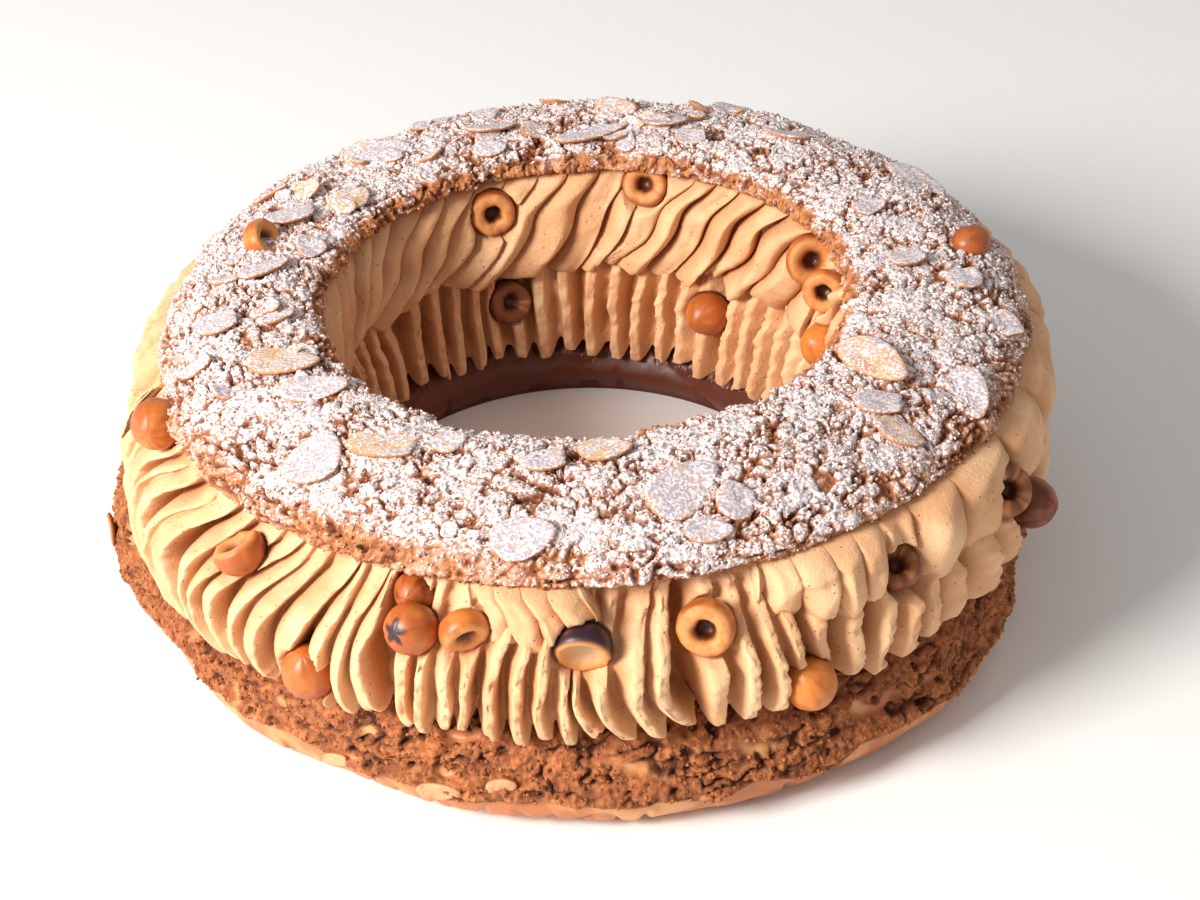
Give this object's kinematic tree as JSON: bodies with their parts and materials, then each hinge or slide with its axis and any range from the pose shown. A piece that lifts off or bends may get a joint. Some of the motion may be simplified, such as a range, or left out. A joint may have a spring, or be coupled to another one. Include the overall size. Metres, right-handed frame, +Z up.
{
  "type": "paris brest",
  "caption": "Ring of choux pastry filled with piped praline cream and roasted hazelnuts, under a crackled lid with almond flakes and icing sugar.",
  "frame": {"origin": "centre of the ring on the plane that the base stands on", "axes": "+Z up, -Y towards the side with the nuts that the picture shows, +X to its right"},
  "size_m": [0.241, 0.2484, 0.0782],
  "materials": {
    "choux_base": "baked choux: smooth brown skin low down, pitted crackled crumb above",
    "praline_cream": "soft satin cream with tiny dark praline specks",
    "choux_lid": "crackled brown crumb under icing sugar, with pale almond flakes",
    "hazelnut": "roasted nut, brown to orange, slightly glossy skin"
  },
  "bodies": {
    "root": {"base_crust": "choux_base", "praline_cream": "praline_cream", "lid_crust": "choux_lid", "hazelnut_outer_left": "hazelnut", "hazelnut_outer_cup_left": "hazelnut", "hazelnut_outer_low_left": "hazelnut", "hazelnut_outer_behind": "hazelnut", "hazelnut_outer_shiny": "hazelnut", "hazelnut_outer_cup_front": "hazelnut", "hazelnut_outer_split_front": "hazelnut", "hazelnut_outer_ring_front": "hazelnut", "hazelnut_outer_low_right": "hazelnut", "hazelnut_outer_dark_right": "hazelnut", "hazelnut_outer_ring_right": "hazelnut", "hazelnut_outer_right": "hazelnut", "hazelnut_outer_back_left": "hazelnut", "hazelnut_outer_back": "hazelnut", "hazelnut_outer_back_right": "hazelnut", "hazelnut_inner_ring_left": "hazelnut", "hazelnut_inner_cup_back": "hazelnut", "hazelnut_inner_cup_right": "hazelnut", "hazelnut_inner_ring_right": "hazelnut", "hazelnut_inner_whole_back": "hazelnut", "hazelnut_inner_right": "hazelnut", "hazelnut_inner_dark_left": "hazelnut", "hazelnut_lid_left": "hazelnut", "hazelnut_lid_right": "hazelnut"}
  },
  "joints": []
}
